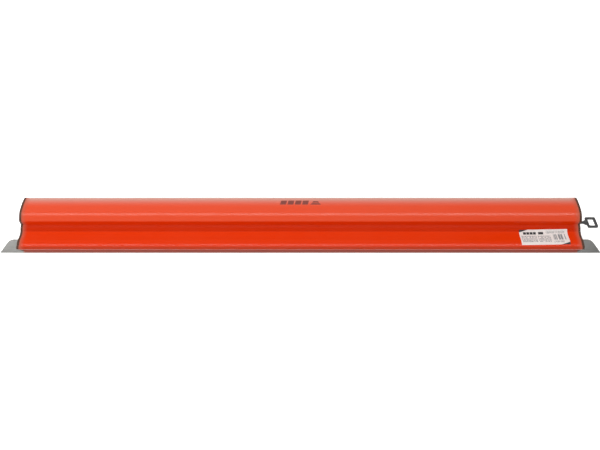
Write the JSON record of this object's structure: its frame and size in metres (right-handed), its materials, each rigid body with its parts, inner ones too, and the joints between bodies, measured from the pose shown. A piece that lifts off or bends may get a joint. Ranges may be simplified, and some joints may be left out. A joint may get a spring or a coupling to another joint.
{
  "type": "finishing spatula",
  "caption": "Long finishing spatula: a thin stainless blade held in a hollow coated aluminium handle profile, with end caps and a swivelling hanging ring.",
  "frame": {"origin": "under the middle of the tool, on the surface that it lies on with its back down", "axes": "+X along the blade towards the end with the hanging ring, the blade edge faces -Y, and +Z is the front of the tool, away from the surface"},
  "size_m": [0.999, 0.094, 0.034],
  "materials": {
    "coated_aluminium": "satin orange-red coating",
    "blade_steel": "brushed along the blade",
    "bare_aluminium": "mill finish",
    "cap_plastic": "fine moulded grain",
    "plated_steel": "zinc plated",
    "ring_plastic": "fine moulded grain",
    "label_paper": "semi-gloss printed sticker"
  },
  "bodies": {
    "handle": {"handle_profile": "coated_aluminium", "blade": "blade_steel", "front_clamp_strip": "bare_aluminium", "rear_clamp_strip": "bare_aluminium", "clamp_rivets": "bare_aluminium", "left_end_cap": "cap_plastic", "right_end_cap": "cap_plastic", "left_cap_screws": "plated_steel", "right_cap_screws": "plated_steel", "ring_bush": "plated_steel", "product_label": "label_paper"},
    "hanger": {"hanging_ring": "ring_plastic", "ring_washer": "plated_steel", "ring_clip": "plated_steel"}
  },
  "joints": [
    {"name": "ring_swivel", "type": "hinge", "parent": "handle", "child": "hanger", "pos_m": [0.465, 0.0042, 0.017], "axis": [1, 0, 0], "continuous": true}
  ]
}
